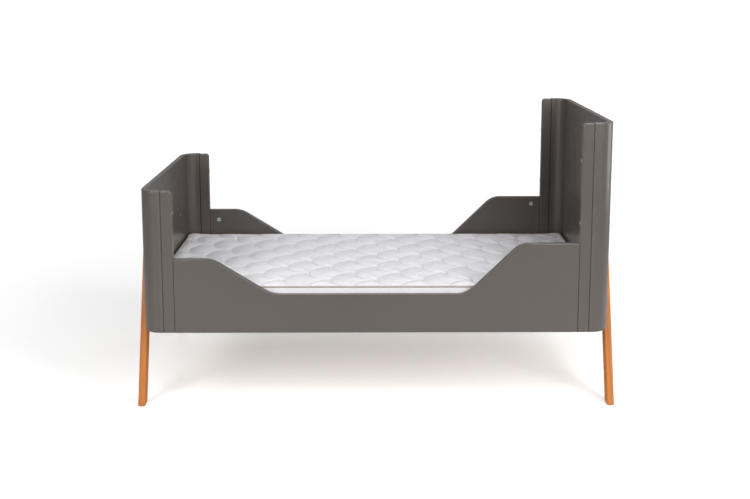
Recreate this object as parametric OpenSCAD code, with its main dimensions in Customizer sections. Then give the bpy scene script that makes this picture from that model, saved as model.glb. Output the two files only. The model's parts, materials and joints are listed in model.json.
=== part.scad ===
// Toddler bed: two U-shaped end panels on leaning beech legs, joined by two scooped side
// rails, with a slatted base and a quilted mattress.
// Origin: centre of the footprint, on the floor. +X to the head end, -Y to the front, +Z up.

/* [Overall] */
// Length over the outer faces of the end panels
bed_length = 1450; // [1440:1:1470]
// Width over the outer faces of the rails
bed_width = 756; // [754:1:770]
// Height of the panels' bottom edge above the floor
floor_gap = 240; // [220:1:260]
// Height of the foot end panel's top edge
foot_height = 688; // [670:1:720]
// Height of the head end panel's top edge
head_height = 895; // [850:1:930]

/* [End panels] */
// Thickness of the formed panels
panel_t = 18; // [16:1:18]
// Outer radius of the two vertical bends
bend_r = 57; // [55:1:60]
// Straight stretch between a bend and the stile
wing_flat = 9.5; // [9:0.5:12]
// Rounding of the panels' top and bottom edges
rim_r = 3; // [2:0.5:5]

/* [Stiles] */
// Width of a stile, along the bed
stile_w = 34.5; // [32:0.5:40]
// Thickness of a stile
stile_t = 20; // [18:1:22]
// Distance from the panel's top edge down to the stile's top
stile_drop = 1.5; // [1:0.5:4]
// Radius of the stile's free top corner
stile_corner_r = 11; // [8:1:14]
// Chamfer on each side of the groove between panel and stile
groove = 2; // [1:0.5:3]

/* [Rails] */
// Thickness of the side rails
rail_t = 20; // [18:1:22]
// Height of a rail's top edge at the foot end
rail_foot_top = 474; // [464:1:484]
// Height of a rail's top edge at the head end
rail_head_top = 522; // [510:1:530]
// Height of the scoop's level bottom
scoop_z = 362; // [350:1:370]
// Where the foot end's shoulder turns down into the scoop
scoop_foot_top_x = -505; // [-530:1:-480]
// Where the scoop's level bottom starts, at the foot end
scoop_foot_x = -324; // [-340:1:-300]
// Where the scoop's level bottom ends, at the head end
scoop_head_x = 279; // [250:1:290]
// Where the head end's shoulder turns down into the scoop
scoop_head_top_x = 442; // [420:1:470]
// Radius of the scoop's corners at the foot end
scoop_foot_r = 100; // [80:5:120]
// Radius of the scoop's corners at the head end
scoop_head_r = 75; // [60:5:85]

/* [Legs] */
// Thickness of a leg, along the bed
leg_t = 22; // [20:1:26]
// Width of a leg, square to its length
leg_w = 38; // [34:1:44]
// Angle that the legs lean inwards
leg_lean = 17.2; // [15:0.2:18]
// Height of a leg's top end
leg_top = 560; // [540:5:600]
// Rounding of a leg's long edges
leg_edge_r = 4; // [2:0.5:5]

/* [Base] */
// Thickness of the base's side and end rails
base_t = 20; // [18:1:20]
// Height of the base's side and end rails
base_h = 32; // [32:1:36]
// Number of slats
slat_count = 13; // [11:1:15]
// Width of a slat
slat_w = 64; // [50:1:70]
// Thickness of a slat
slat_t = 8; // [8:1:10]

/* [Mattress] */
// Length of the mattress
mattress_l = 1400; // [1380:1:1400]
// Width of the mattress
mattress_w = 700; // [680:1:700]
// Thickness of the mattress
mattress_t = 100; // [90:1:110]
// Radius of the mattress's corners
mattress_corner_r = 36; // [32:1:45]
// Thickness of the cover
cover_t = 4; // [3:0.5:6]
// Thickness of the piping
piping_d = 5; // [4:0.5:6]

/* [Hidden] */
paint = [0.36, 0.34, 0.32];
beech = [0.83, 0.58, 0.37];
pine = [0.87, 0.74, 0.55];
brass = [0.76, 0.52, 0.30];
steel = [0.74, 0.76, 0.78];
foam = [0.93, 0.90, 0.78];
cloth = [0.92, 0.92, 0.94];
trim = [0.72, 0.70, 0.66];
eps = 1;                                   // how far a cutter runs past a face
half_l = bed_length / 2;
half_w = bed_width / 2;
inner_x = half_l - panel_t;                // inner face of an end panel
bend_x = half_l - bend_r;                  // centre of a bend, along the bed
bend_y = half_w - bend_r;                  // centre of a bend, across the bed
groove_x = bend_x - wing_flat;             // joint between panel and stile
stile_x = groove_x - stile_w;              // joint between stile and rail
joint_y = half_w - stile_t / 2;            // middle of a stile's and a rail's thickness

// Stile inserts, in the inner edge of every stile. The rail's cam bolts take some of them.
insert_d = 10;
insert_len = 13;
insert_flange_d = 12;
insert_flange_t = 1.5;
insert_recess = 0.2;                       // clearance round a flange in a rail's end
thread_d = 6;
rail_low_z = 290;
foot_cam_drop = 38;                        // upper cam below the rail's top edge
head_cam_drop = 26.5;
foot_insert_drop = 69;                     // free inserts below the panel's top edge
head_insert_drops = [310.5, 117];
foot_cam_z = [rail_low_z, rail_foot_top - foot_cam_drop];
head_cam_z = [rail_low_z, rail_head_top - head_cam_drop];
foot_insert_z = concat(foot_cam_z, [foot_height - foot_insert_drop]);
head_insert_z = concat(head_cam_z, [for (drop = head_insert_drops) head_height - drop]);

// Cam locks in the rails
cam_d = 15;
cam_depth = 13.5;
cam_back = 34;                             // from the rail's end to the cam's centre
cam_slot_w = 2;
cam_slot_depth = 1.5;
cam_bolt_d = 7;
cam_bolt_neck_d = 4;
cam_bolt_head_len = 5;
cam_mouth_d = 8;                           // hole in the cam that the bolt's head enters

// Dowels between panel and stile
dowel_d = 8;
dowel_in_panel = 12;
dowel_in_stile = 18;
dowel_y = half_w - panel_t / 2;
dowel_margin = 60;                         // from the stile's ends to the outer dowels
dowels_per_stile = 4;

// Leg fixings, on the leg's centre line behind the mattress
leg_bolt_z = [305, 360];
leg_bolt_head_d = 14;
leg_bolt_head_t = 2.5;
leg_insert_len = 14;
bolt_short = 2;                            // a bolt ends this far before its insert's end

// Base fixings: the used position, and the empty one that the base was lowered from.
// They are set wider at the foot end, so that the base fits only one way round.
foot_base_bolt_y = 210;
head_base_bolt_y = 180;
base_lift = 1;                             // from the panels' bottom edge up to the base
base_z = floor_gap + base_lift;
base_bolt_z = base_z + base_h / 2;
base_upper_z = 486;
base_bolt_head_d = 12;
base_bolt_head_t = 3.5;
base_insert_len = 13;
base_end_gap = 3;                          // from an end rail's end to where the bend starts
base_side_gap = 21;                        // from a side rail's inner face to the same place
base_end_half = bend_y - base_end_gap;
base_side_y = bend_y - base_side_gap;
base_side_x = inner_x - base_t;
corner_screw_d = 5;
corner_screw_len = 50;
corner_screw_head_d = 9;
slat_z = base_z + base_h;
slat_side_inset = 5;                       // slats end this far inside the mattress's sides
slat_end_inset = 10;                       // and the end slats this far inside its ends
slat_half = mattress_w / 2 - slat_side_inset;
slat_end_x = mattress_l / 2 - slat_end_inset;
slat_pitch = 2 * (slat_end_x - slat_w / 2) / (slat_count - 1);
slat_screw_y = base_side_y + base_t / 2;
slat_screw_d = 3.5;
slat_screw_head_d = 7;
slat_screw_len = 25;
corner_shift = 5;                          // keeps the corner screws clear of the slat screws

slat_top = slat_z + slat_t;
mattress_gap = 0.3;                        // the mattress lies just clear of the slats
mattress_z = slat_top + mattress_gap;

// Points of a circular arc from angle a0 to a1
function arc(centre, r, a0, a1, steps) =
    [for (i = [0:steps]) let (a = a0 + (a1 - a0) * i / steps) centre + r * [cos(a), sin(a)]];

// Angle brought into the range from -180 to 180
function wrap(a) = a > 180 ? a - 360 : a < -180 ? a + 360 : a;

// Rounds the sharp corner at point q between the neighbouring points p and s
function rounded(p, q, s, r, steps = 12) =
    let (a = atan2(q.y - p.y, q.x - p.x), turn = wrap(atan2(s.y - q.y, s.x - q.x) - a),
         side = sign(turn), t = r * tan(abs(turn) / 2),
         start = q - t * [cos(a), sin(a)],
         centre = start + side * r * [-sin(a), cos(a)])
    arc(centre, r, a - side * 90, a + turn - side * 90, steps);

// Across the bed: the front half is as drawn, the back half is its mirror image
module at_side(y_sign) {
    if (y_sign < 0) children();
    else mirror([0, 1, 0]) children();
}

// Along the bed: the head end is as drawn, the foot end is its mirror image
module at_end(x_sign) {
    if (x_sign > 0) children();
    else mirror([1, 0, 0]) children();
}

// A hole or a rod along +X from a point
module along_x(x, y, z, d, len) {
    translate([x, y, z]) rotate([0, 90, 0]) cylinder(d = d, h = len, $fn = 48);
}

// Upright section of a panel: a rectangle with all four corners rounded
module panel_section(h) {
    translate([0, rim_r]) square([panel_t, h - 2 * rim_r]);
    translate([rim_r, 0]) square([panel_t - 2 * rim_r, h]);
    for (x = [rim_r, panel_t - rim_r], y = [rim_r, h - rim_r])
        translate([x, y]) circle(r = rim_r, $fn = 32);
}

// One bend and the short wing that follows it, at the head end's front
module panel_side(h) {
    translate([bend_x, -bend_y, floor_gap])
        rotate([0, 0, -90]) rotate_extrude(angle = 90, $fn = 96)
            translate([bend_r - panel_t, 0]) panel_section(h);
    intersection() {
        translate([groove_x, -half_w, floor_gap])
            rotate([90, 0, 90]) linear_extrude(wing_flat) panel_section(h);
        translate([0, 0, floor_gap]) linear_extrude(h)
            polygon([[bend_x, -half_w], [bend_x, -half_w + panel_t],
                     [groove_x + groove, -half_w + panel_t],
                     [groove_x, -half_w + panel_t - groove],
                     [groove_x, -half_w + groove], [groove_x + groove, -half_w]]);
    }
}

// End panel drawn at the head end
module end_panel(top, bolt_y) {
    h = top - floor_gap;
    difference() {
        union() {
            translate([inner_x, bend_y, floor_gap])
                rotate([90, 0, 0]) linear_extrude(2 * bend_y) panel_section(h);
            for (side = [-1, 1]) at_side(side) panel_side(h);
        }
        for (side = [-1, 1]) at_side(side) {
            for (z = stile_dowel_z(top))
                along_x(groove_x - eps, -dowel_y, z,
                        dowel_d, dowel_in_panel + eps);
            for (z = leg_bolt_z) {
                along_x(inner_x - eps, -leg_centre_y(z), z, thread_d, panel_t + 2 * eps);
                along_x(inner_x - eps, -leg_centre_y(z), z, leg_bolt_head_d, leg_bolt_head_t + eps);
            }
            for (z = [base_bolt_z, base_upper_z])
                along_x(inner_x - eps, -bolt_y, z, insert_d, base_insert_len + eps);
        }
    }
}

// Height of each dowel in a stile
function stile_dowel_z(top) =
    let (low = floor_gap + dowel_margin, high = top - dowel_margin)
    [for (i = [0:dowels_per_stile - 1]) low + (high - low) * i / (dowels_per_stile - 1)];

// Stile drawn at the head end's front
module stile(top, insert_z) {
    h = top - stile_drop - floor_gap;
    difference() {
        translate([stile_x, -half_w + stile_t, floor_gap]) rotate([90, 0, 0]) linear_extrude(stile_t) {
            square([stile_w, h - stile_corner_r]);
            translate([stile_corner_r, 0]) square([stile_w - stile_corner_r, h]);
            translate([stile_corner_r, h - stile_corner_r]) circle(r = stile_corner_r, $fn = 64);
        }
        for (y = [-half_w, -half_w + stile_t])
            translate([groove_x, y, floor_gap + h / 2]) rotate([0, 0, 45])
                cube([groove * sqrt(2), groove * sqrt(2), h + 2 * eps], center = true);
        for (z = insert_z) along_x(stile_x - eps, -joint_y, z, insert_d, insert_len + eps);
        for (z = stile_dowel_z(top))
            along_x(groove_x - dowel_in_stile, -dowel_y, z,
                    dowel_d, dowel_in_stile + eps);
    }
}

// Side view of a rail: straight stretches joined by arcs, from foot to head
function rail_outline() =
    let (a = [stile_x, floor_gap], b = [stile_x, rail_head_top],
         c = [scoop_head_top_x, rail_head_top], d = [scoop_head_x, scoop_z],
         e = [scoop_foot_x, scoop_z], f = [scoop_foot_top_x, rail_foot_top],
         g = [-stile_x, rail_foot_top], h = [-stile_x, floor_gap])
    concat([a, b], rounded(b, c, d, scoop_head_r), rounded(c, d, e, scoop_head_r),
           rounded(d, e, f, scoop_foot_r), rounded(e, f, g, scoop_foot_r), [g, h]);

// Rail drawn at the front
module rail() {
    difference() {
        translate([0, -half_w + rail_t, 0]) rotate([90, 0, 0]) linear_extrude(rail_t)
            polygon(rail_outline());
        for (end = [-1, 1], z = cam_z(end)) at_end(end) {
            translate([stile_x - cam_back, -half_w + rail_t - cam_depth, z])
                rotate([-90, 0, 0]) cylinder(d = cam_d, h = cam_depth + eps, $fn = 48);
            along_x(stile_x - cam_back, -joint_y, z, cam_bolt_d, cam_back + eps);
            along_x(stile_x - insert_flange_t - insert_recess, -joint_y, z,
                    insert_flange_d + 2 * insert_recess, insert_flange_t + insert_recess + eps);
        }
    }
}

// Heights of the cams at one end
function cam_z(end) = end > 0 ? head_cam_z : foot_cam_z;

// Distance of a leg's centre line from the bed's long centre line, at height z
function leg_centre_y(z) = half_w - leg_w / (2 * cos(leg_lean)) - z * tan(leg_lean);

// Leg drawn at the head end's front
module leg() {
    difference() {
        intersection() {
            translate([half_l, -leg_centre_y(0), 0]) rotate([-leg_lean, 0, 0])
                translate([0, -leg_w / 2, -leg_w]) linear_extrude(2 * leg_top) {
                    translate([0, leg_edge_r]) square([leg_t, leg_w - 2 * leg_edge_r]);
                    translate([0, 0]) square([leg_t - leg_edge_r, leg_w]);
                    for (y = [leg_edge_r, leg_w - leg_edge_r])
                        translate([leg_t - leg_edge_r, y]) circle(r = leg_edge_r, $fn = 32);
                }
            translate([half_l - eps, -half_w - eps, 0])
                cube([leg_t + 2 * eps, half_w, leg_top]);
        }
        for (z = leg_bolt_z)
            along_x(half_l - eps, -leg_centre_y(z), z, insert_d, leg_insert_len + eps);
    }
}

// Distance of the base bolts from the bed's long centre line, at one end
function base_bolt_y(end) = end > 0 ? head_base_bolt_y : foot_base_bolt_y;

module base_side_rail() {
    difference() {
        translate([-base_side_x, -base_side_y - base_t, base_z])
            cube([2 * base_side_x, base_t, base_h]);
        for (end = [-1, 1]) at_end(end) corner_screws(eps);
        for (i = [1:slat_count])
            translate([slat_x(i), -slat_screw_y, slat_top - slat_screw_len])
                cylinder(d = slat_screw_d, h = slat_screw_len, $fn = 24);
    }
}

module base_end_rail(bolt_y) {
    difference() {
        translate([base_side_x, -base_end_half, base_z]) cube([base_t, 2 * base_end_half, base_h]);
        for (side = [-1, 1]) at_side(side) {
            along_x(base_side_x - eps, -bolt_y, base_bolt_z, thread_d, base_t + 2 * eps);
            corner_screws(eps);
        }
    }
}

// Centre of slat i along the bed
function slat_x(i) = slat_pitch * (i - (slat_count + 1) / 2);

module slat(i) {
    color(pine) difference() {
        translate([slat_x(i) - slat_w / 2, -slat_half, slat_z]) cube([slat_w, 2 * slat_half, slat_t]);
        for (side = [-1, 1]) at_side(side) translate([slat_x(i), 0, 0]) slat_screw();
    }
}

// Countersunk screw through a slat, at the front
module slat_screw() {
    head_h = (slat_screw_head_d - slat_screw_d) / 2;
    translate([0, -slat_screw_y, slat_top - slat_screw_len])
        cylinder(d = slat_screw_d, h = slat_screw_len, $fn = 24);
    translate([0, -slat_screw_y, slat_top - head_h])
        cylinder(d1 = slat_screw_d, d2 = slat_screw_head_d, h = head_h, $fn = 24);
}

// Two screws through the base's end rail into a side rail, at the head end's front.
// Extra is how far the cutter for the heads runs past the face.
module corner_screws(extra = 0) {
    head_h = (corner_screw_head_d - corner_screw_d) / 2;
    for (z = [base_z + base_h / 4, base_z + base_h * 3 / 4]) {
        along_x(inner_x - corner_screw_len, -slat_screw_y + corner_shift, z,
                corner_screw_d, corner_screw_len);
        translate([inner_x - head_h, -slat_screw_y + corner_shift, z]) rotate([0, 90, 0])
            cylinder(d1 = corner_screw_d, d2 = corner_screw_head_d, h = head_h, $fn = 32);
        if (extra > 0)
            along_x(inner_x, -slat_screw_y + corner_shift, z, corner_screw_head_d, extra);
    }
}

// Threaded sleeve with a flange, its mouth at x = 0 facing -X
module insert(len) {
    difference() {
        union() {
            along_x(0, 0, 0, insert_d, len);
            along_x(-insert_flange_t, 0, 0, insert_flange_d, insert_flange_t);
        }
        along_x(-insert_flange_t - eps, 0, 0, thread_d, len + insert_flange_t + 2 * eps);
    }
}

module stile_inserts() {
    color(brass)
    for (end = [-1, 1], side = [-1, 1], z = end > 0 ? head_insert_z : foot_insert_z)
        at_end(end) at_side(side) translate([stile_x, -joint_y, z]) insert(insert_len);
}

module stile_dowels() {
    color(beech)
    for (end = [-1, 1], side = [-1, 1], z = stile_dowel_z(end > 0 ? head_height : foot_height))
        at_end(end) at_side(side)
            along_x(groove_x - dowel_in_stile, -dowel_y, z,
                    dowel_d, dowel_in_stile + dowel_in_panel);
}

// Bolt screwed into a stile insert, reaching to the middle of its cam
module rail_cam_bolts() {
    color(steel) for (end = [-1, 1], side = [-1, 1], z = cam_z(end)) at_end(end) at_side(side) {
        along_x(stile_x - insert_flange_t, -joint_y, z, thread_d, insert_len + insert_flange_t);
        along_x(stile_x - cam_back + cam_d / 2, -joint_y, z,
                cam_bolt_d, cam_back - cam_d / 2 - insert_flange_t);
        along_x(stile_x - cam_back + cam_bolt_head_len, -joint_y, z,
                cam_bolt_neck_d, cam_d / 2 - cam_bolt_head_len);
        along_x(stile_x - cam_back, -joint_y, z, cam_bolt_d, cam_bolt_head_len);
    }
}

// Round cam with a slotted face, open towards its bolt
module rail_cam_locks() {
    color(steel)
    for (end = [-1, 1], side = [-1, 1], z = cam_z(end)) at_end(end) at_side(side)
        translate([stile_x - cam_back, -half_w + rail_t, z]) rotate([90, 0, 0]) difference() {
            cylinder(d = cam_d, h = cam_depth, $fn = 48);
            translate([-cam_d / 2 - eps, -cam_slot_w / 2, -eps])
                cube([cam_d + 2 * eps, cam_slot_w, cam_slot_depth + eps]);
            translate([-cam_slot_w / 2, -cam_d / 2 - eps, -eps])
                cube([cam_slot_w, cam_d + 2 * eps, cam_slot_depth + eps]);
            translate([-cam_bolt_d / 2, 0, rail_t - stile_t / 2]) rotate([0, 90, 0])
                cylinder(d = cam_mouth_d, h = cam_d + eps, $fn = 32);
        }
}

module leg_bolts() {
    color(steel)
    for (end = [-1, 1], side = [-1, 1], z = leg_bolt_z) at_end(end) at_side(side) {
        along_x(inner_x, -leg_centre_y(z), z, leg_bolt_head_d, leg_bolt_head_t);
        along_x(inner_x, -leg_centre_y(z), z, thread_d, panel_t + leg_insert_len - bolt_short);
    }
}

// Threaded sleeve in a leg, flush with the leg's inner face
module leg_inserts() {
    color(brass)
    for (end = [-1, 1], side = [-1, 1], z = leg_bolt_z) at_end(end) at_side(side) difference() {
        along_x(half_l, -leg_centre_y(z), z, insert_d, leg_insert_len);
        along_x(half_l - eps, -leg_centre_y(z), z, thread_d, leg_insert_len + 2 * eps);
    }
}

module base_bolts() {
    color(steel)
    for (end = [-1, 1], side = [-1, 1]) at_end(end) at_side(side) {
        along_x(base_side_x - base_bolt_head_t, -base_bolt_y(end), base_bolt_z,
                base_bolt_head_d, base_bolt_head_t);
        along_x(base_side_x, -base_bolt_y(end), base_bolt_z,
                thread_d, base_t + base_insert_len - bolt_short);
    }
}

// Threaded sleeves in the end panels, flush with their inner faces, at both base heights
module base_inserts() {
    color(brass)
    for (end = [-1, 1], side = [-1, 1], z = [base_bolt_z, base_upper_z])
        at_end(end) at_side(side) difference() {
            along_x(inner_x, -base_bolt_y(end), z, insert_d, base_insert_len);
            along_x(inner_x - eps, -base_bolt_y(end), z, thread_d, base_insert_len + 2 * eps);
        }
}

module base_corner_screws() {
    color(steel)
    for (end = [-1, 1], side = [-1, 1]) at_end(end) at_side(side) corner_screws();
}

module slat_screws() {
    color(steel)
    for (i = [1:slat_count], side = [-1, 1])
        at_side(side) translate([slat_x(i), 0, 0]) slat_screw();
}

// Upright block with round vertical corners, inset from the mattress's outline
module mattress_block(inset, z, h) {
    l = mattress_l / 2 - inset;
    w = mattress_w / 2 - inset;
    r = mattress_corner_r - inset;
    translate([0, 0, z]) linear_extrude(h) {
        square([2 * (l - r), 2 * w], center = true);
        square([2 * l, 2 * (w - r)], center = true);
        for (x = [-1, 1], y = [-1, 1]) translate([x * (l - r), y * (w - r)]) circle(r = r, $fn = 64);
    }
}

module mattress_core() {
    color(foam)
    mattress_block(piping_d / 2 + cover_t, mattress_z + cover_t, mattress_t - 2 * cover_t);
}

module mattress_cover() {
    color(cloth) difference() {
        mattress_block(piping_d / 2, mattress_z, mattress_t);
        mattress_core();
    }
}

// Cord round the mattress's outline, centred on the cover's side wall at height z
module piping(z) {
    r = mattress_corner_r - piping_d / 2;
    x = mattress_l / 2 - mattress_corner_r;
    y = mattress_w / 2 - mattress_corner_r;
    difference() {
        union() {
            for (side = [-1, 1]) {
                translate([-x, side * (y + r), z]) rotate([0, 90, 0])
                    cylinder(d = piping_d, h = 2 * x, $fn = 32);
                translate([side * (x + r), y, z]) rotate([90, 0, 0])
                    cylinder(d = piping_d, h = 2 * y, $fn = 32);
            }
            for (sx = [-1, 1], sy = [-1, 1]) translate([sx * x, sy * y, z])
                rotate([0, 0, sx > 0 ? (sy > 0 ? 0 : -90) : (sy > 0 ? 90 : 180)])
                    rotate_extrude(angle = 90, $fn = 64)
                        translate([r, 0]) circle(d = piping_d, $fn = 32);
        }
        mattress_block(piping_d / 2, mattress_z, mattress_t);
    }
}

// The sub-parts, each in its place
module foot_end_panel() { color(paint) at_end(-1) end_panel(foot_height, base_bolt_y(-1)); }
module head_end_panel() { color(paint) at_end(1) end_panel(head_height, base_bolt_y(1)); }
module foot_stile_front() { color(paint) at_end(-1) at_side(-1) stile(foot_height, foot_insert_z); }
module foot_stile_back() { color(paint) at_end(-1) at_side(1) stile(foot_height, foot_insert_z); }
module head_stile_front() { color(paint) at_end(1) at_side(-1) stile(head_height, head_insert_z); }
module head_stile_back() { color(paint) at_end(1) at_side(1) stile(head_height, head_insert_z); }
module front_rail() { color(paint) at_side(-1) rail(); }
module back_rail() { color(paint) at_side(1) rail(); }
module foot_leg_front() { color(beech) at_end(-1) at_side(-1) leg(); }
module foot_leg_back() { color(beech) at_end(-1) at_side(1) leg(); }
module head_leg_front() { color(beech) at_end(1) at_side(-1) leg(); }
module head_leg_back() { color(beech) at_end(1) at_side(1) leg(); }
module base_side_rail_front() { color(pine) at_side(-1) base_side_rail(); }
module base_side_rail_back() { color(pine) at_side(1) base_side_rail(); }
module base_end_rail_foot() { color(pine) at_end(-1) base_end_rail(base_bolt_y(-1)); }
module base_end_rail_head() { color(pine) at_end(1) base_end_rail(base_bolt_y(1)); }

module mattress_piping_top() { color(trim) piping(mattress_z + mattress_t - piping_d / 2); }
module mattress_piping_bottom() { color(trim) piping(mattress_z + piping_d / 2); }

foot_end_panel();
head_end_panel();
foot_stile_front();
foot_stile_back();
head_stile_front();
head_stile_back();
front_rail();
back_rail();
foot_leg_front();
foot_leg_back();
head_leg_front();
head_leg_back();
base_side_rail_front();
base_side_rail_back();
base_end_rail_foot();
base_end_rail_head();
for (i = [1:slat_count])
    slat(i);
stile_inserts();
stile_dowels();
rail_cam_bolts();
rail_cam_locks();
leg_bolts();
leg_inserts();
base_bolts();
base_inserts();
base_corner_screws();
slat_screws();
mattress_core();
mattress_cover();
mattress_piping_top();
mattress_piping_bottom();
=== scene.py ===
import json
import math

import bmesh
import bpy
import numpy as np
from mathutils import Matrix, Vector


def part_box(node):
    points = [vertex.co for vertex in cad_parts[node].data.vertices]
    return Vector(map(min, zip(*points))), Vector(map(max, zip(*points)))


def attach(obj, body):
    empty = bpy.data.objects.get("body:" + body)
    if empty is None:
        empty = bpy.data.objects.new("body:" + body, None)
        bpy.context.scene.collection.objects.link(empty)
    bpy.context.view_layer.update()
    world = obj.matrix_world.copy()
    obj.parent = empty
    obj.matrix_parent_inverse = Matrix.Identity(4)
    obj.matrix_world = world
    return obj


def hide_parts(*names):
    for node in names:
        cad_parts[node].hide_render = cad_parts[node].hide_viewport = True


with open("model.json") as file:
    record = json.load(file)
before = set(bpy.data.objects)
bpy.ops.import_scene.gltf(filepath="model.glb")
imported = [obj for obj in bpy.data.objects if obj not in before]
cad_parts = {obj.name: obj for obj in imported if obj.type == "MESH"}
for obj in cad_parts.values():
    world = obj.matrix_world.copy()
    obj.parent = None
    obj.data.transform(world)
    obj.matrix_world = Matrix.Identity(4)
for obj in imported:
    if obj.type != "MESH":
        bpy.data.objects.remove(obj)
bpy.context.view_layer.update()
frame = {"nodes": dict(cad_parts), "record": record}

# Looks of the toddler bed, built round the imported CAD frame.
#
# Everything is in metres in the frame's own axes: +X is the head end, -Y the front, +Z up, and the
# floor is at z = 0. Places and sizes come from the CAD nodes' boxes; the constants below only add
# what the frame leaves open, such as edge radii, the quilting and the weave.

NODES = frame["nodes"]
ENDS = ("foot", "head")
SIDES = ("front", "back")
MM = 0.001

# Boards
RAIL_EDGE_R = 2.5 * MM         # rounding of the rails' edges
STILE_EDGE_R = 3.2 * MM        # rounding of the stiles' edges, which makes the V groove
STILE_CORNER_R = 11 * MM       # free top corner of a stile
LEG_EDGE_R = 3.5 * MM
LEG_END_R = 5 * MM             # rounding of a leg's ends
ARC_STEPS = 10

# Drilling, as in the CAD part
SLEEVE_D = 10 * MM             # hole in a stile for an insert
FLANGE_CLEAR = 0.2 * MM        # gap round an insert's flange, and behind it

# Quilting: scallops that open towards the head end
SCALLOP_X = 74.0 * MM          # spacing of the columns of arcs
SCALLOP_Y = 155.2 * MM         # spacing of the arcs in a column
SCALLOP_R = 76.8 * MM
SCALLOP_START = (-585 * MM, 33 * MM)
STITCH_MARGIN = 12 * MM        # the stitching ends this far from the seam
QUILT_RISE = 7.0 * MM          # from a stitched line up to the middle of a scallop, before filling
QUILT_SHOULDER = 36 * MM       # distance over which it rises
LUMP = 0.03                    # width of the filling's lumps
LUMP_SHARE = 0.07              # how much they add to a scallop's height
CREASE = 0.15 * MM
CREASE_SIZE = (20 * MM, 5.5 * MM)
TOP_STEP = 4.0 * MM            # grid of the quilted top
SEAM_DROP = 4.0 * MM           # the seam with the piping lies this far below the top face
MATTRESS_R = 33.5 * MM         # corners of the cover, seen from above
CROWN = 2.5 * MM               # rise of the whole top, reached this far from the seam:
CROWN_EDGE = 60 * MM
CROWN_SWAY = 0.8 * MM          # slow unevenness of the top, with waves of this size:
CROWN_WAVES = (0.16, 0.12)
HEAD_SAG = 4 * MM              # how much flatter the top lies at the head end
HEAD_SAG_REACH = 0.22
HEAD_SAG_SHAPE = 0.7
EAR_LIFT = 5 * MM              # how far the corners of the seam are pulled up
EAR_REACH = 32 * MM
EAR_WIDTH = 14 * MM
BORDER_ROWS = 14
BORDER_BULGE = 1.5 * MM
FOLD_LENGTH = 12 * MM          # upright folds in the border
UNDERSIDE_LIFT = 1 * MM

# Cloth simulation of the quilted top
CUT_LARGER = 0.012             # share by which the cover is larger than its place
PRESSURE = 8.0
CLOTH_QUALITY = 4
CLOTH_STIFFNESS = 5
CLOTH_BENDING = 0.05
CLOTH_DAMPING = 2
SIM_FRAMES = 15
MOST_SHIFT = 6 * MM            # no point moves further than this

# Piping
CORD_FULL = 1.25               # the upper cord's thickness over that of the CAD's plain one
CORD_PITCH = 7 * MM            # length of one twist of the strands
CORD_WAIST = 0.84              # thickness between the strands, as a share of the whole
CORD_SIDES = 12
RINGS_PER_TWIST = 5

# Colours
PAINT_GREY = (0.0812, 0.0684, 0.0604)
CORD_GREIGE = (0.44, 0.41, 0.37)
BEECH = ((0.555, 0.195, 0.046), (0.462, 0.150, 0.032), (0.55, 0.40, 0.32))   # pale, dark, fleck
PINE = ((0.72, 0.52, 0.30), (0.58, 0.38, 0.19), (0.8, 0.7, 0.6))
BRASS = (0.95, 0.55, 0.28)
ZINC = (0.78, 0.85, 0.84)
FOAM = (0.85, 0.80, 0.62)
TOP_CLOTH = (0.83, 0.82, 0.86)
BORDER_CLOTH = (0.86, 0.85, 0.88)
# Painted shade along the quilting's stitched lines:
STITCH_SHADE = (0.89, 0.88, 0.88)
WEAVE = 0.8 * MM               # spacing of the cover's threads
JOINT_SHADE_REACH = 6 * MM     # painted shade: paint darkens where another face is nearer than this
RECESS_REACH = 3 * MM          # painted shade in the same way, for slots and holes in metal

# Camera and light
CAMERA_AT = (-0.0240, -3.4186, 1.2760)
CAMERA_PITCH = 8.457           # degrees below the horizon
CAMERA_YAW = -0.367            # degrees, turned towards the head end
LENS = 48.91                   # millimetres, on a sensor of this width:
SENSOR = 36
LENS_SHIFT = -0.1373
FLOOR_GLOW = (0.35, 0.95)      # near the bed, and far from it
FLOOR_RADIUS = 30.0
AMBIENT = 0.02                 # surroundings, as lit surfaces feel them
MIRRORED = 0.30                # surroundings, as glossy surfaces mirror them
BACKDROP = 1.05                # surroundings, as the camera sees them
# Soft boxes: place and watts. Their strengths were fitted to the photograph, then rounded.
SOFT_BOX_SIZE = 0.9
SOFT_BOXES = {
    "front_right_high": ((1.2, -1.6, 2.4), 26),
    "front_left_high": ((-0.8, -1.4, 2.0), 5),
    "front_left": ((-1.6, -1.8, 1.4), 24.5),
    "front_right": ((1.6, -1.8, 1.4), 18),
    "side_right": ((2.2, 0.0, 0.8), 6),
    "back_right": ((1.0, 1.4, 2.2), 4.7),
    "back_left": ((-1.0, 1.4, 2.2), 4.3),
}
# Distant light: azimuth from the front towards the head, elevation, strength
SUNS = {
    "front_fill": (25, 20, 0.62),
    "left_fill": (-80, 50, 0.25),
    "right_fill": (80, 20, 0.25),
    "back_fill": (180, 45, 0.10),
}
SUN_ANGLE = 26
LIGHTS_AIM = (0, 0, 0.4)


# ---------------------------------------------------------------- meshes

def new_object(name, verts, faces):
    """A smooth-shaded mesh object from lists of points and faces."""
    mesh = bpy.data.meshes.new(name)
    mesh.from_pydata([tuple(map(float, v)) for v in verts], [], faces)
    mesh.polygons.foreach_set("use_smooth", [True] * len(mesh.polygons))
    obj = bpy.data.objects.new(name, mesh)
    bpy.context.scene.collection.objects.link(obj)
    return obj


def arc(centre, r, start, end, steps=ARC_STEPS):
    """Points on a circular arc, with angles in degrees."""
    angles = np.radians(np.linspace(start, end, steps + 1))
    return [(centre[0] + r * math.cos(a), centre[1] + r * math.sin(a)) for a in angles]


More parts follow.
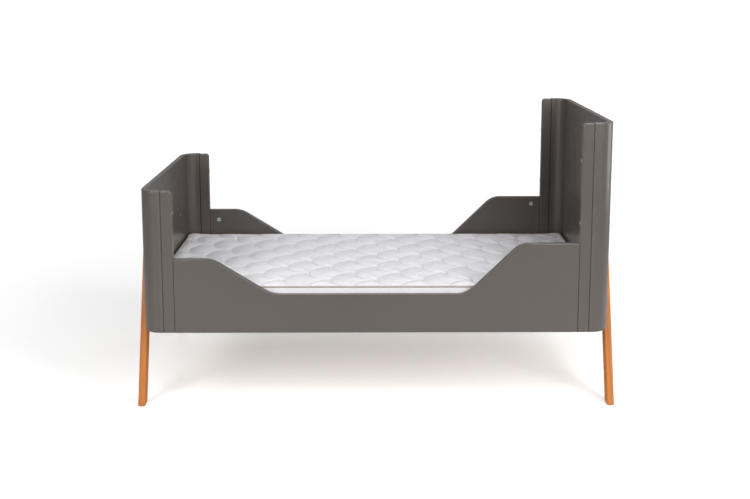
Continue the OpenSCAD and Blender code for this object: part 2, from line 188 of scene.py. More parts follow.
def inset(outline, distance):
    """A closed anticlockwise outline moved inwards by a distance, with mitred corners."""
    p = np.array(outline, float)
    ahead = np.roll(p, -1, 0) - p
    ahead /= np.linalg.norm(ahead, axis=1)[:, None]
    behind = np.roll(ahead, 1, 0)
    normal = np.stack([-ahead[:, 1] - behind[:, 1], ahead[:, 0] + behind[:, 0]], 1)
    normal /= np.linalg.norm(normal, axis=1)[:, None]
    mitre = 1 / np.sqrt((1 + (ahead * behind).sum(1)) / 2)
    return p + normal * (distance * mitre)[:, None]


def rounding(r, steps=4):
    """(height, inset) pairs that round an edge off, from the flat face to the side."""
    angles = np.radians(np.linspace(90, 0, steps + 1))
    return [(r * (1 - math.sin(a)), r * (1 - math.cos(a))) for a in angles]


def rings_to_mesh(name, rings, place):
    """Closed solid through rings of equal length, capped at both ends."""
    n = len(rings[0])
    verts = [place(u, v, w) for ring in rings for u, v, w in ring]
    faces = [[k * n + i, k * n + (i + 1) % n, (k + 1) * n + (i + 1) % n, (k + 1) * n + i]
             for k in range(len(rings) - 1) for i in range(n)]
    faces.append(list(range(n))[::-1])
    faces.append([(len(rings) - 1) * n + i for i in range(n)])
    obj = new_object(name, verts, faces)
    face_outwards(obj)
    return obj


def face_outwards(obj):
    """Turns every face of a closed mesh outwards."""
    work = bmesh.new()
    work.from_mesh(obj.data)
    bmesh.ops.recalc_face_normals(work, faces=work.faces)
    work.to_mesh(obj.data)
    work.free()


def slab(name, outline, thickness, r, place):
    """Board of an outline and a thickness, with all its edges rounded off."""
    levels = [(w, d) for w, d in rounding(r)]
    levels += [(thickness - w, d) for w, d in rounding(r)[::-1]]
    rings = [[(u, v, w) for u, v in inset(outline, d)] for w, d in levels]
    return rings_to_mesh(name, rings, place)


def flatten_shading(obj):
    """Keeps big faces flat where they meet a narrow rounded edge."""
    mod = obj.modifiers.new("faces", "WEIGHTED_NORMAL")
    mod.mode = "FACE_AREA"
    mod.weight = 100
    mod.keep_sharp = True


def apply_modifiers(obj):
    """Bakes an object's modifiers into its mesh."""
    dg = bpy.context.evaluated_depsgraph_get()
    mesh = bpy.data.meshes.new_from_object(obj.evaluated_get(dg), depsgraph=dg)
    old = obj.data
    obj.modifiers.clear()
    obj.data = mesh
    bpy.data.meshes.remove(old)


def cylinder(name, start, end, d, sides=40):
    """Plain rod between two points, used only to cut holes."""
    start, end = Vector(start), Vector(end)
    turn = (end - start).to_track_quat("Z", "Y").to_matrix()
    ring = [turn @ Vector((d / 2 * math.cos(a), d / 2 * math.sin(a), 0))
            for a in np.linspace(0, 2 * math.pi, sides, endpoint=False)]
    verts = [start + p for p in ring] + [end + p for p in ring]
    faces = [[i, (i + 1) % sides, sides + (i + 1) % sides, sides + i] for i in range(sides)]
    faces += [list(range(sides))[::-1], list(range(sides, 2 * sides))]
    return new_object(name, verts, faces)


def drill(obj, holes):
    """Cuts round holes, each (start, end, diameter), out of an object."""
    for start, end, d in holes:
        cutter = cylinder("cutter", start, end, d)
        mod = obj.modifiers.new("drill", "BOOLEAN")
        mod.operation = "DIFFERENCE"
        mod.solver = "EXACT"
        mod.object = cutter
        apply_modifiers(obj)
        bpy.data.objects.remove(cutter)
    sharpen(obj, 35)


def sharpen(obj, degrees):
    """Marks the edges that turn by more than an angle as sharp."""
    obj.data.set_sharp_from_angle(angle=math.radians(degrees))


def welded(node):
    """A CAD node's mesh with its split points joined, to be freed by the caller."""
    work = bmesh.new()
    work.from_mesh(NODES[node].data)
    bmesh.ops.remove_doubles(work, verts=work.verts, dist=1e-6)
    return work


def solids_in(node):
    """The box of each separate solid of a CAD node, as (low corner, high corner)."""
    work = welded(node)
    boxes, seen = [], set()
    for first in work.verts:
        if first in seen:
            continue
        stack, group = [first], []
        seen.add(first)
        while stack:
            v = stack.pop()
            group.append(tuple(v.co))
            for e in v.link_edges:
                other = e.other_vert(v)
                if other not in seen:
                    seen.add(other)
                    stack.append(other)
        points = np.array(group)
        boxes.append((Vector(points.min(0)), Vector(points.max(0))))
    work.free()
    return boxes


def inside(box, point, slack=2 * MM):
    """Whether a point lies in a box, or just outside it."""
    return all(box[0][i] - slack <= point[i] <= box[1][i] + slack for i in range(3))


# ---------------------------------------------------------------- materials

class Paint:
    """Builds one node material, whose coordinates are those of the object."""

    def __init__(self, name):
        self.material = bpy.data.materials.new(name)
        self.material.use_nodes = True
        self.tree = self.material.node_tree
        self.shader = self.tree.nodes["Principled BSDF"]
        self.where = self.add("TexCoord").outputs["Object"]

    def add(self, kind, settings=None, **inputs):
        """A new node. Inputs go by name, or by number as i0, i1 and so on."""
        node = self.tree.nodes.new("ShaderNode" + kind)
        for key, value in (settings or {}).items():
            setattr(node, key, value)
        for key, value in inputs.items():
            self.put(node.inputs[int(key[1:]) if key[0] == "i" and key[1:].isdigit()
                                 else key.replace("_", " ")], value)
        return node

    def put(self, socket, value):
        """Links a socket to another, or gives it a constant."""
        if isinstance(value, bpy.types.NodeSocket):
            self.tree.links.new(value, socket)
        else:
            socket.default_value = value

    def set(self, **inputs):
        """Sets or links inputs of the material's own shader."""
        for key, value in inputs.items():
            self.put(self.shader.inputs[key.replace("_", " ")], value)

    def scaled(self, x, y, z, source=None):
        """Coordinates stretched along the axes."""
        return self.add("Mapping", Vector=source or self.where, Scale=(x, y, z)).outputs[0]

    def noise(self, scale, detail=2.0, source=None, roughness=0.5):
        """Noise between 0 and 1."""
        node = self.add("TexNoise", Vector=source or self.where, Scale=scale, Detail=detail,
                        Roughness=roughness)
        return node.outputs["Fac"]

    def ramp(self, value, *stops):
        """Colour or grey ramp through (position, colour) stops."""
        node = self.add("ValToRGB", Fac=value)
        line = node.color_ramp
        while len(line.elements) < len(stops):
            line.elements.new(0.5)
        for element, (position, colour) in zip(line.elements, stops):
            element.position = position
            element.color = colour if len(colour) == 4 else (*colour, 1)
        return node.outputs["Color"]

    def span(self, value, low, high, start=0.0, end=1.0):
        """A value moved from start..end to low..high."""
        return self.add("MapRange", i0=value, i1=start, i2=end, i3=low, i4=high).outputs[0]

    def math(self, operation, a, b):
        return self.add("Math", {"operation": operation}, i0=a, i1=b).outputs[0]

    def mix(self, kind, factor, a, b):
        """Two colours blended in one of the blend modes."""
        node = self.add("Mix", {"data_type": "RGBA", "blend_type": kind}, i0=factor, i6=a, i7=b)
        return node.outputs[2]

    def painted_recess_shade(self, colour, reach, darkest):
        """The colour with painted shade: darkened where other faces stand closer than the reach."""
        open_sky = self.add("AmbientOcclusion", {"samples": 6}, Distance=reach).outputs["AO"]
        shade = self.ramp(open_sky, (0.35, (darkest,) * 3), (0.92, (1, 1, 1)))
        return self.mix("MULTIPLY", 1.0, colour, shade)

    def bump(self, height, depth, strength):
        """A normal for a height between 0 and 1 over a depth in metres."""
        return self.add("Bump", Height=height, Distance=depth, Strength=strength).outputs["Normal"]


def tone(colour, factor):
    """A colour made lighter or darker."""
    return tuple(c * factor for c in colour)


def paint_material():
    """Satin lacquer on board: faint cloudiness, painted highlights on its edges, painted shade in its
    joints, light orange peel, uneven gloss.
    """
    m = Paint("satin_paint")
    grey = PAINT_GREY
    cloud = m.noise(3.0, 3.0)
    speck = m.noise(90.0, 2.0)
    colour = m.ramp(cloud, (0.30, tone(grey, 0.965)), (0.70, tone(grey, 1.035)))
    colour = m.mix("MULTIPLY", 1.0, colour, m.ramp(speck, (0.3, (0.985,) * 3), (0.7, (1.015,) * 3)))
    # Painted highlight: the grey is mixed lighter along the sharp outer edges
    edge = m.add("NewGeometry").outputs["Pointiness"]
    painted_edge_highlight = m.ramp(edge, (0.515, (0, 0, 0)), (0.56, (1, 1, 1)))
    colour = m.mix("MIX", m.math("MULTIPLY", painted_edge_highlight, 0.35), colour, (*tone(grey, 1.6), 1))
    # Painted shade in the joints and grooves between boards
    colour = m.painted_recess_shade(colour, JOINT_SHADE_REACH, 0.35)
    m.set(Base_Color=colour, Roughness=m.span(m.noise(30.0, 3.0), 0.33, 0.41, 0.3, 0.7))
    m.set(Coat_Weight=0.45, Coat_Roughness=0.22)
    m.set(Normal=m.bump(m.noise(340.0, 1.0), 0.00002, 0.3))
    return m.material


def wood_material(name, pale, dark, fleck, grain="grain"):
    """Planed wood: streaks along the grain, growth bands and short dark flecks.

    The boards carry their own grain coordinates: x runs along the grain.
    """
    m = Paint(name)
    along = m.add("Attribute", {"attribute_name": grain}).outputs["Vector"] if grain else m.where
    streaks = m.noise(1.0, 4.0, m.scaled(4, 130, 130, along), 0.6)
    bands = m.noise(1.0, 2.0, m.scaled(1.6, 34, 34, along))
    flecks = m.noise(1.0, 2.0, m.scaled(110, 1500, 1500, along), 0.4)
    body = m.ramp(streaks, (0.30, dark), (0.52, pale), (0.75, tone(pale, 1.06)))
    body = m.mix("MULTIPLY", 0.55, body, m.ramp(bands, (0.35, (0.80, 0.76, 0.72)), (0.62, (1, 1, 1))))
    spots = m.ramp(flecks, (0.66, (1, 1, 1)), (0.74, fleck))
    body = m.mix("MULTIPLY", 0.7, body, spots)
    m.set(Base_Color=body, Roughness=m.span(streaks, 0.52, 0.64, 0.3, 0.7), Specular_IOR_Level=0.3)
    pores = m.noise(1.0, 3.0, m.scaled(30, 900, 900, along))
    m.set(Normal=m.bump(pores, 0.0001, 0.5))
    return m.material


def metal_material(name, colour, roughness, metallic=1.0, scratch_scale=900.0):
    """Plated metal with fine turning marks, slight tarnish and painted shade in its slots and holes.
    """
    m = Paint(name)
    tarnish = m.noise(260.0, 3.0)
    plating = m.ramp(tarnish, (0.35, tone(colour, 0.82)), (0.7, colour))
    # Painted shade inside the slots and holes
    m.set(Base_Color=m.painted_recess_shade(plating, RECESS_REACH, 0.05))
    m.set(Metallic=metallic, Roughness=m.span(tarnish, roughness - 0.06, roughness + 0.08, 0.3, 0.7))
    m.set(Normal=m.bump(m.noise(scratch_scale, 2.0), 0.00004, 0.4))
    return m.material


def cloth_material(name, colour, thread, relief, fuzz=1.0, sewn=False):
    """Woven cotton: crossing threads, slubs and a soft sheen, and painted shade along sewn lines."""
    m = Paint(name)
    turns = 2 * math.pi / thread
    warp = m.add("TexWave", {"wave_type": "BANDS", "bands_direction": "X"},
                 Vector=m.where, Scale=turns / 20, Distortion=0.6, Detail=1.0).outputs["Fac"]
    weft = m.add("TexWave", {"wave_type": "BANDS", "bands_direction": "Y"},
                 Vector=m.where, Scale=turns / 20, Distortion=0.6, Detail=1.0).outputs["Fac"]
    weave = m.math("MULTIPLY", warp, weft)
    slub = m.noise(160.0, 4.0)
    tint = m.ramp(m.noise(9.0, 3.0), (0.3, tone(colour, 0.985)), (0.7, tone(colour, 1.01)))
    tint = m.mix("MULTIPLY", fuzz, tint, m.ramp(slub, (0.25, (0.94,) * 3), (0.6, (1, 1, 1))))
    if sewn:
        # Painted shade along the stitched lines, where the cover dips
        line = m.add("Attribute", {"attribute_name": "thread"}).outputs["Fac"]
        tint = m.mix("MULTIPLY", 1.0, tint, m.ramp(line, (0.35, (1, 1, 1)), (0.85, STITCH_SHADE)))
    m.set(Base_Color=tint, Roughness=0.92, Specular_IOR_Level=0.25)
    m.set(Sheen_Weight=0.25, Sheen_Roughness=0.5)
    height = m.math("ADD", weave, m.math("MULTIPLY", slub, 1.5))
    m.set(Normal=m.bump(height, relief, 0.6))
    return m.material


def cord_material():
    """Twisted greige cord: the strands are modelled, their fibres are bumped."""
    m = Paint("twisted_cord")
    fibre = m.noise(700.0, 3.0)
    m.set(Base_Color=m.ramp(fibre, (0.3, tone(CORD_GREIGE, 0.8)), (0.7, tone(CORD_GREIGE, 1.12))))
    m.set(Roughness=0.9, Sheen_Weight=0.3, Normal=m.bump(fibre, 0.0003, 0.8))
    return m.material


def floor_material():
    """Pale matt studio floor, which the camera sees nearly burnt out, with faint mottling."""
    m = Paint("studio_floor")
    m.set(Base_Color=m.ramp(m.noise(1.5, 3.0), (0.3, (0.90,) * 3), (0.7, (0.93,) * 3)), Roughness=0.8)
    distance = m.add("VectorMath", {"operation": "LENGTH"}, i0=m.where).outputs["Value"]
    glow = m.span(distance, FLOOR_GLOW[0], FLOOR_GLOW[1], 0.5, 4.0)
    seen = m.add("LightPath").outputs["Is Camera Ray"]
    m.set(Emission_Color=(1, 1, 1, 1), Emission_Strength=m.math("MULTIPLY", glow, seen))
    return m.material


MATERIALS = {
    "grey_paint": paint_material(),
    "beech": wood_material("beech", *BEECH),
    "pine": wood_material("pine", *PINE, None),
    "insert_brass": metal_material("insert_brass", BRASS, 0.36, 0.85),
    "zinc_steel": metal_material("zinc_steel", ZINC, 0.42, 0.7),
    "foam": cloth_material("foam", FOAM, 2 * MM, 0.0002),
    "quilted_cover": cloth_material("quilted_cotton", TOP_CLOTH, WEAVE, 0.00012, sewn=True),
    "border_cloth": cloth_material("border_cotton", BORDER_CLOTH, WEAVE, 0.00012),
    "piping": cord_material(),
}


def finish_piece(obj, slot, body, *nodes, material=None):
    """Gives a piece the material of its slot and its body, and hides the CAD nodes that it stands for.
    """
    obj.data.materials.clear()
    obj.data.materials.append(MATERIALS[material or slot])
    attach(obj, body)
    if nodes:
        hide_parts(*nodes)
    return obj


# ---------------------------------------------------------------- painted boards

def face_outline(node, y):
    """Closed outline, in X and Z, of a CAD board's face that lies at one Y."""
    work = welded(node)
    flat = {f for f in work.faces if all(abs(v.co.y - y) < 1e-5 for v in f.verts)}
    rim = [e for e in work.edges if sum(f in flat for f in e.link_faces) == 1]
    links = {}
    for e in rim:
        for v in e.verts:
            links.setdefault(v, []).append(e.other_vert(v))
    start = min(links, key=lambda v: (v.co.x, v.co.z))
    loop, previous, here = [start], None, start
    while True:
        following = next(v for v in links[here] if v is not previous)
        if following is start:
            break
        loop.append(following)
        previous, here = here, following
    points = [(v.co.x, v.co.z) for v in loop]
    work.free()
    area = sum(a[0] * b[1] - b[0] * a[1] for a, b in zip(points, points[1:] + points[:1]))
    return points if area > 0 else points[::-1]


def in_upright_plane(y0, direction):
    """Places (u, v, w) as X, Z and a depth from y0 along Y."""
    return lambda u, v, w: (u, y0 + direction * w, v)


def make_rail(side):
    """Rail with soft edges, drilled for its cam locks and for the inserts' flanges."""
    node = f"{side}_rail"
    lo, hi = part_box(node)
    outer, inner = (lo.y, hi.y) if side == "front" else (hi.y, lo.y)
    inwards = 1 if inner > outer else -1
    obj = slab(f"{side}_rail_board", face_outline(node, outer), hi.y - lo.y, RAIL_EDGE_R,
               in_upright_plane(outer, inwards))
    holes = []
    for cam_lo, cam_hi in solids_in("rail_cam_locks"):
        middle = (cam_lo + cam_hi) / 2
        if not inside((lo, hi), middle):
            continue
        deep = cam_lo.y if inwards > 0 else cam_hi.y
        holes.append(((middle.x, deep, middle.z), (middle.x, inner + inwards * MM, middle.z),
                      cam_hi.x - cam_lo.x))
    for bolt_lo, bolt_hi in solids_in("stile_inserts"):
        middle = (bolt_lo + bolt_hi) / 2
        end = math.copysign(hi.x, middle.x)
        if abs(middle.y - (lo.y + hi.y) / 2) > MM or middle.z > rail_top_at(node, end):
            continue
        flange = bolt_hi.z - bolt_lo.z + 2 * FLANGE_CLEAR
        depth = abs(end) - min(abs(bolt_lo.x), abs(bolt_hi.x)) + FLANGE_CLEAR
        outside = math.copysign(MM, end)
        holes.append(((end - math.copysign(depth, end), middle.y, middle.z),
                      (end + outside, middle.y, middle.z), flange))
    drill(obj, holes)
    flatten_shading(obj)
    return finish_piece(obj, "grey_paint", "bed_frame", node)


def rail_top_at(node, x):
    """Height of a rail's top edge at one of its ends."""
    return max(v.co.z for v in NODES[node].data.vertices if abs(v.co.x - x) < MM)


def make_stile(end, side):
    """Stile with its free top corner rounded and a soft edge all round."""
    node = f"{end}_stile_{side}"
    lo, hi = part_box(node)
    outer, inwards = (lo.y, 1) if side == "front" else (hi.y, -1)
    r = STILE_CORNER_R
    if end == "head":
        outline = [(hi.x, lo.z), (hi.x, hi.z)] + arc((lo.x + r, hi.z - r), r, 90, 180) + [(lo.x, lo.z)]
    else:
        outline = [(hi.x, lo.z)] + arc((hi.x - r, hi.z - r), r, 0, 90) + [(lo.x, hi.z), (lo.x, lo.z)]
    obj = slab(f"{end}_stile_{side}_board", outline, hi.y - lo.y, STILE_EDGE_R,
               in_upright_plane(outer, inwards))
    holes = []
    for sleeve_lo, sleeve_hi in solids_in("stile_inserts"):
        middle = (sleeve_lo + sleeve_hi) / 2
        if not inside((lo, hi), middle):
            continue
        far = sleeve_hi.x if end == "head" else sleeve_lo.x
        mouth = lo.x - MM if end == "head" else hi.x + MM
        holes.append(((far, middle.y, middle.z), (mouth, middle.y, middle.z), SLEEVE_D))
    drill(obj, holes)
    flatten_shading(obj)
    return finish_piece(obj, "grey_paint", "bed_frame", node)


# ---------------------------------------------------------------- legs

def rounded_rectangle(hx, hy, r, steps=5):
    """Anticlockwise outline about the origin."""
    points = []
    for sx, sy, start in ((1, 1, 0), (-1, 1, 90), (-1, -1, 180), (1, -1, 270)):
        points += arc((sx * (hx - r), sy * (hy - r)), r, start, start + 90, steps)
    return points


def make_leg(end, side):
    """Straight leaning bar with soft edges, cut level at the floor."""
    node = f"{end}_leg_{side}"
    lo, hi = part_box(node)
    co = np.array([v.co for v in NODES[node].data.vertices])
    foot = co[co[:, 2] < lo.z + 1e-5]
    top = co[co[:, 2] > hi.z - 1e-5]
    foot_y = (foot[:, 1].min() + foot[:, 1].max()) / 2
    top_y = (top[:, 1].min() + top[:, 1].max()) / 2
    hx = (hi.x - lo.x) / 2
    hy = (foot[:, 1].max() - foot[:, 1].min()) / 2
    x = (lo.x + hi.x) / 2
    height = hi.z - lo.z
    levels = [(z, d) for z, d in rounding(LEG_END_R)]
    levels += [(height * k / 12, 0) for k in range(1, 12)]
    levels += [(height - z, d) for z, d in rounding(LEG_END_R)[::-1]]
    rings, grain = [], []
    for z, d in levels:
        y = foot_y + (top_y - foot_y) * z / height
        section = rounded_rectangle(hx - d, hy - d, LEG_EDGE_R)
        rings.append([(x + u, y + v, lo.z + z) for u, v in section])
        grain += [(z + 3 * x + 7 * foot_y, v, u) for u, v in section]
    obj = rings_to_mesh(f"{node}_bar", rings, lambda u, v, w: (u, v, w))
    store = obj.data.attributes.new("grain", "FLOAT_VECTOR", "POINT")
    store.data.foreach_set("vector", np.array(grain, np.float32).ravel())
    flatten_shading(obj)
    return finish_piece(obj, "beech", "bed_frame", node)


# ---------------------------------------------------------------- mattress

def nearest_arc(x, y):
    """Distance to the nearest stitched arc, and the nearest point of that arc."""
    rx, radius = SCALLOP_X, SCALLOP_R
    column = np.floor((x - SCALLOP_START[0]) / rx)
    nearest = np.full(x.shape, 1.0)
    on_x, on_y = x.copy(), y.copy()
    for step in (-1, 0, 1):
        k = column + step
        centre_x = SCALLOP_START[0] + k * rx + radius
        shift = SCALLOP_START[1] + np.mod(k, 2) * SCALLOP_Y / 2
        row = np.round((y - shift) / SCALLOP_Y)
        for other in (-1, 0, 1):
            centre_y = shift + (row + other) * SCALLOP_Y
            dx, dy = np.minimum(x - centre_x, 0), y - centre_y
            length = np.maximum(np.hypot(dx, dy), 1e-9)
            px, py = centre_x + dx / length * radius, centre_y + dy / length * radius
            gap = np.hypot(x - px, y - py)
            closer = gap < nearest
            nearest = np.where(closer, gap, nearest)
            on_x, on_y = np.where(closer, px, on_x), np.where(closer, py, on_y)
    return nearest, on_x, on_y


def smooth_noise(x, y, seed, octaves=2):
    """Soft random height field from a few summed waves, between about -1 and 1."""
    rng = np.random.default_rng(seed)
    total = np.zeros_like(x)
    for octave in range(octaves):
        for _ in range(7):
            angle = rng.uniform(0, 2 * math.pi)
            wave = rng.uniform(0.6, 1.4) * 2 ** octave
            phase = rng.uniform(0, 2 * math.pi)
            total += np.sin(wave * (x * math.cos(angle) + y * math.sin(angle)) + phase) / 2 ** octave
    return total / 5


def rim_distance(x, y, half_x, half_y, r):
    """Distance inwards from the rim of a rectangle with round corners."""
    over_x, over_y = np.abs(x) - (half_x - r), np.abs(y) - (half_y - r)
    straight = np.minimum(half_x - np.abs(x), half_y - np.abs(y))
    return np.where((over_x > 0) & (over_y > 0), r - np.hypot(over_x, over_y), straight)


def rounded_block_map(u, v, half_x, half_y, r):
    """Square grid coordinates bent so that the grid's rim follows round corners."""
    x, y = u * half_x, v * half_y
    reach = np.maximum(np.abs(u), np.abs(v))
    safe = np.maximum(reach, 1e-9)
    rim_x, rim_y = x / safe, y / safe
    over_x = np.maximum(np.abs(rim_x) - (half_x - r), 0)
    over_y = np.maximum(np.abs(rim_y) - (half_y - r), 0)
    corner = (over_x > 0) & (over_y > 0)
    pull = r / np.maximum(np.hypot(over_x, over_y), 1e-9)
    new_x = np.where(corner, np.sign(rim_x) * (half_x - r + over_x * pull), rim_x)
    new_y = np.where(corner, np.sign(rim_y) * (half_y - r + over_y * pull), rim_y)
    weight = reach ** 10
    return x + (new_x - rim_x) * weight, y + (new_y - rim_y) * weight


def corner_ear(x, y, half_x, half_y):
    """How far the seam is pulled up near the mattress's corners."""
    corner = (1 - math.sqrt(0.5)) * MATTRESS_R
    away = np.hypot(half_x - corner - np.abs(x), half_y - corner - np.abs(y))
    return EAR_LIFT * np.exp(-(away / EAR_REACH) ** 2)


def stitched_area(x, y):
    """Whether a point of the top is far enough from the seam to be stitched."""
    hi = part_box("mattress_cover")[1]
    return rim_distance(x, y, hi.x, hi.y, MATTRESS_R) > STITCH_MARGIN


def quilted_top(half_x, half_y, seam_z):
    """Grid points of the top, with points on every stitched line, and which of them are sewn."""
    nx, ny = (2 * int(round(half / TOP_STEP)) for half in (half_x, half_y))
    v, u = np.meshgrid(np.linspace(-1, 1, ny + 1), np.linspace(-1, 1, nx + 1))
    x, y = rounded_block_map(u, v, half_x, half_y, MATTRESS_R)
    edge = rim_distance(x, y, half_x, half_y, MATTRESS_R)
    gap, on_x, on_y = nearest_arc(x, y)
    stitched = (gap < 0.5 * TOP_STEP) & stitched_area(x, y)
    x, y = np.where(stitched, on_x, x), np.where(stitched, on_y, y)
    gap = np.where(stitched, 0, gap)
    t = np.clip(np.minimum(gap, edge * 1.2) / QUILT_SHOULDER, 0, 1)
    puff = np.sqrt(1 - (1 - t) ** 2)
    height = QUILT_RISE * puff * (1 + LUMP_SHARE * smooth_noise(x / LUMP, y / LUMP, 3))
    height += CREASE * puff * smooth_noise(x / CREASE_SIZE[0], y / CREASE_SIZE[1], 11)
    height -= HEAD_SAG * puff * np.clip(1 - (half_x - x) / HEAD_SAG_REACH, 0, 1) ** HEAD_SAG_SHAPE
    rise = np.clip(edge / CROWN_EDGE, 0, 1)
    sway = CROWN_SWAY * smooth_noise(x / CROWN_WAVES[0], y / CROWN_WAVES[1], 8) * rise
    crown = CROWN * (1 - (1 - rise) ** 2) + sway
    ear = corner_ear(x, y, half_x, half_y) * np.clip(1 - edge / EAR_WIDTH, 0, 1)
    return np.stack([x, y, seam_z + crown + height + ear], -1), stitched


def mattress_shell():
    """Closed cover as an object, and how many of its faces are the quilted top."""
    lo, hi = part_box("mattress_cover")
    seam_z = hi.z - SEAM_DROP
    top, sewn = quilted_top(hi.x, hi.y, seam_z)
    top += inflate(top)
    nx, ny = top.shape[0] - 1, top.shape[1] - 1
    index = np.arange(top[..., 0].size).reshape(nx + 1, ny + 1)
    quads = np.stack([index[:-1, :-1], index[1:, :-1], index[1:, 1:], index[:-1, 1:]], -1)
    faces = quads.reshape(-1, 4).tolist()
    rim = np.concatenate([index[:-1, 0], index[-1, :-1], index[:0:-1, -1], index[0, :0:-1]])
    verts = top.reshape(-1, 3)
    base = verts[rim]
    n = len(rim)
    ahead = np.roll(base, -1, 0) - np.roll(base, 1, 0)
    outward = np.stack([ahead[:, 1], -ahead[:, 0]], 1)
    outward /= np.linalg.norm(outward, axis=1)[:, None]
    along = np.arange(n) * TOP_STEP
    rows, previous = [verts], rim
    for k in range(1, BORDER_ROWS + 1):
        t = k / BORDER_ROWS
        belly = math.sin(math.pi * t)
        folds = smooth_noise(along / FOLD_LENGTH, np.full(n, t * 0.8), 5)
        ring = base.copy()
        ring[:, :2] += outward * (BORDER_BULGE * belly * (1 + 0.5 * folds))[:, None]
        ring[:, 2] = base[:, 2] * (1 - t) + (lo.z + UNDERSIDE_LIFT) * t
        here = np.arange(n) + len(verts) + (k - 1) * n
        rows.append(ring)
        around = np.stack([previous, np.roll(previous, -1), np.roll(here, -1), here], 1)
        faces += around.tolist()
        previous = here
    faces.append(previous.tolist())
    obj = new_object("mattress_quilted", np.vstack(rows), faces)
    face_outwards(obj)
    # Marks the stitched points, where the cover's material paints shade
    thread = np.zeros(len(obj.data.vertices), np.float32)
    thread[:len(verts)] = sewn.ravel()
    obj.data.attributes.new("thread", "FLOAT", "POINT").data.foreach_set("value", thread)
    return obj, nx * ny


def inflate(top):
    """Cloth simulation: the stuffing presses the cover out between its stitches and seams.

    It runs on every second point of the top, and the moves are handed on to the points between.
    The cover is cut a little larger than the space between its stitches, so it wrinkles.
    """
    start = top[::2, ::2].reshape(-1, 3)
    nx, ny = (top.shape[0] + 1) // 2, (top.shape[1] + 1) // 2
    index = np.arange(nx * ny).reshape(nx, ny)
    faces = np.stack([index[:-1, :-1], index[1:, :-1], index[1:, 1:], index[:-1, 1:]], -1)
    obj = new_object("cover_cloth", start, faces.reshape(-1, 4).tolist())
    near = nearest_arc(start[:, 0], start[:, 1])[0] < TOP_STEP
    near &= stitched_area(start[:, 0], start[:, 1])
    near = near.reshape(nx, ny)
    near[0] = near[-1] = near[:, 0] = near[:, -1] = True
    group = obj.vertex_groups.new(name="sewn")
    group.add(np.flatnonzero(near.ravel()).tolist(), 1.0, "REPLACE")
    mod = obj.modifiers.new("cover", "CLOTH")
    cloth = mod.settings
    cloth.quality = CLOTH_QUALITY
    cloth.tension_stiffness = cloth.compression_stiffness = CLOTH_STIFFNESS
    cloth.shear_stiffness = CLOTH_STIFFNESS
    cloth.bending_stiffness = CLOTH_BENDING
    cloth.air_damping = CLOTH_DAMPING
    cloth.shrink_min = -CUT_LARGER
    cloth.use_pressure = True
    cloth.uniform_pressure_force = PRESSURE
    cloth.vertex_group_mass = group.name
    cloth.effector_weights.gravity = 0
    mod.collision_settings.use_self_collision = False
    mod.collision_settings.use_collision = False
    for frame_number in range(1, SIM_FRAMES + 1):
        bpy.context.scene.frame_set(frame_number)
    dg = bpy.context.evaluated_depsgraph_get()
    mesh = bpy.data.meshes.new_from_object(obj.evaluated_get(dg), depsgraph=dg)
    moved = np.array([v.co for v in mesh.vertices])
    bpy.data.meshes.remove(mesh)
    bpy.data.objects.remove(obj)
    bpy.context.scene.frame_set(1)
    shift = moved - start
    length = np.maximum(np.linalg.norm(shift, axis=1), 1e-9)
    shift *= (np.minimum(length, MOST_SHIFT) / length)[:, None]
    return hand_on(shift.reshape(nx, ny, 3), top.shape)


def hand_on(coarse, shape):
    """Values at every second grid point, spread to all of them."""
    full = np.zeros(shape)
    full[::2, ::2] = coarse
    full[1::2, ::2] = (full[:-1:2, ::2] + full[2::2, ::2]) / 2
    full[:, 1::2] = (full[:, :-1:2] + full[:, 2::2]) / 2
    return full


def make_mattress():
    """Quilted top, plain border and flat underside, as one closed cover."""
    obj, top_faces = mattress_shell()
    finish_piece(obj, "quilted_cover", "mattress", "mattress_cover", "mattress_core")
    obj.data.materials.append(MATERIALS["border_cloth"])
    kinds = [int(i >= top_faces) for i in range(len(obj.data.polygons))]
    obj.data.polygons.foreach_set("material_index", kinds)
    return obj


def make_piping(level):
    """Twisted two-strand cord laid round the mattress's edge."""
    node = f"mattress_piping_{level}"
    lo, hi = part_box(node)
    r = (hi.z - lo.z) / 2
    path = rounded_rectangle(hi.x - r, hi.y - r, MATTRESS_R, 12)
    points = np.array(path)
    step = np.linalg.norm(np.roll(points, -1, 0) - points, axis=1)
    length = step.sum()
    turns = int(round(length / CORD_PITCH))
    rings = turns * RINGS_PER_TWIST
    sides = CORD_SIDES
    at = np.concatenate([[0], np.cumsum(step)])
    closed = np.vstack([points, points[:1]])
    s = np.arange(rings) / rings * length
    cx, cy = np.interp(s, at, closed[:, 0]), np.interp(s, at, closed[:, 1])
    on_top = level == "top"
    full = CORD_FULL if on_top else 1
    lift = corner_ear(cx, cy, hi.x, hi.y) * on_top
    tx = np.roll(cx, -1) - np.roll(cx, 1)
    ty = np.roll(cy, -1) - np.roll(cy, 1)
    norm = np.hypot(tx, ty)
    out_x, out_y = ty / norm, -tx / norm
    verts = []
    for i in range(rings):
        twist = 2 * math.pi * turns * i / rings
        for k in range(sides):
            a = 2 * math.pi * k / sides
            radius = full * r * (CORD_WAIST + (1 - CORD_WAIST) * abs(math.cos(a - twist / 2)))
            out, up = radius * math.cos(a), radius * math.sin(a) + lift[i]
            verts.append((cx[i] + out_x[i] * out, cy[i] + out_y[i] * out, (lo.z + hi.z) / 2 + up))
    faces = [[i * sides + k, i * sides + (k + 1) % sides,
              ((i + 1) % rings) * sides + (k + 1) % sides, ((i + 1) % rings) * sides + k]
             for i in range(rings) for k in range(sides)]
    obj = new_object(f"{node}_cord", verts, faces)
    face_outwards(obj)
    return finish_piece(obj, "piping", "mattress", node)


# ---------------------------------------------------------------- scene

def dress_cad_nodes():
    """The CAD nodes that keep their own shape get their slot's material."""
    slots = {part["node"]: part["material_slot"] for part in frame["record"]["subparts"]}
    for name, obj in NODES.items():
        for entry in obj.material_slots:
            entry.link = "OBJECT"
            entry.material = MATERIALS[slots[name]]


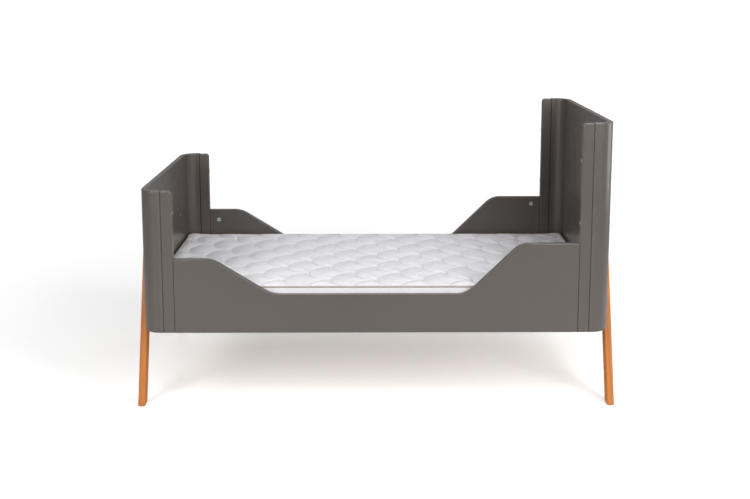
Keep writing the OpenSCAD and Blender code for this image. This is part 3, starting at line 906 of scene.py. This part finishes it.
def add_light(name, kind, place, watts):
    """A light at a place, aimed at the bed."""
    light = bpy.data.lights.new(name, kind)
    light.energy = watts
    obj = bpy.data.objects.new(name, light)
    obj.location = place
    obj.rotation_mode = "QUATERNION"
    obj.rotation_quaternion = (Vector(LIGHTS_AIM) - Vector(place)).to_track_quat("-Z", "Y")
    bpy.context.scene.collection.objects.link(obj)
    return light


def studio():
    """Pale floor, soft light and the camera."""
    ring = [(FLOOR_RADIUS * math.cos(a), FLOOR_RADIUS * math.sin(a), 0)
            for a in np.linspace(0, 2 * math.pi, 64, endpoint=False)]
    floor = new_object("studio_floor", ring, [list(range(len(ring)))])
    floor.data.materials.append(floor_material())

    world = bpy.data.worlds.new("studio")
    bpy.context.scene.world = world
    world.use_nodes = True
    tree = world.node_tree
    back = tree.nodes["Background"]
    back.inputs["Color"].default_value = (1, 1, 1, 1)
    ray = tree.nodes.new("ShaderNodeLightPath")
    mirrored = tree.nodes.new("ShaderNodeMapRange")
    mirrored.inputs["To Min"].default_value = AMBIENT
    mirrored.inputs["To Max"].default_value = MIRRORED
    tree.links.new(ray.outputs["Is Glossy Ray"], mirrored.inputs["Value"])
    level = tree.nodes.new("ShaderNodeMapRange")
    level.inputs["To Max"].default_value = BACKDROP
    tree.links.new(ray.outputs["Is Camera Ray"], level.inputs["Value"])
    tree.links.new(mirrored.outputs[0], level.inputs["To Min"])
    tree.links.new(level.outputs[0], back.inputs["Strength"])

    for name, (place, watts) in SOFT_BOXES.items():
        add_light(name, "AREA", place, watts).size = SOFT_BOX_SIZE
    for name, (azimuth, elevation, strength) in SUNS.items():
        az, el = math.radians(azimuth), math.radians(elevation)
        direction = Vector((math.sin(az) * math.cos(el), -math.cos(az) * math.cos(el), math.sin(el)))
        light = add_light(name, "SUN", Vector(LIGHTS_AIM) + 5 * direction, strength)
        light.angle = math.radians(SUN_ANGLE)

    camera = bpy.data.cameras.new("camera")
    camera.lens = LENS
    camera.sensor_width = SENSOR
    camera.shift_y = LENS_SHIFT
    obj = bpy.data.objects.new("camera", camera)
    obj.location = CAMERA_AT
    obj.rotation_euler = (math.radians(90 - CAMERA_PITCH), 0, math.radians(CAMERA_YAW))
    bpy.context.scene.collection.objects.link(obj)
    bpy.context.scene.camera = obj
    bpy.context.scene.view_settings.view_transform = "Standard"


dress_cad_nodes()
for side in SIDES:
    make_rail(side)
    for end in ENDS:
        make_stile(end, side)
        make_leg(end, side)
make_mattress()
make_piping("top")
make_piping("bottom")
studio()
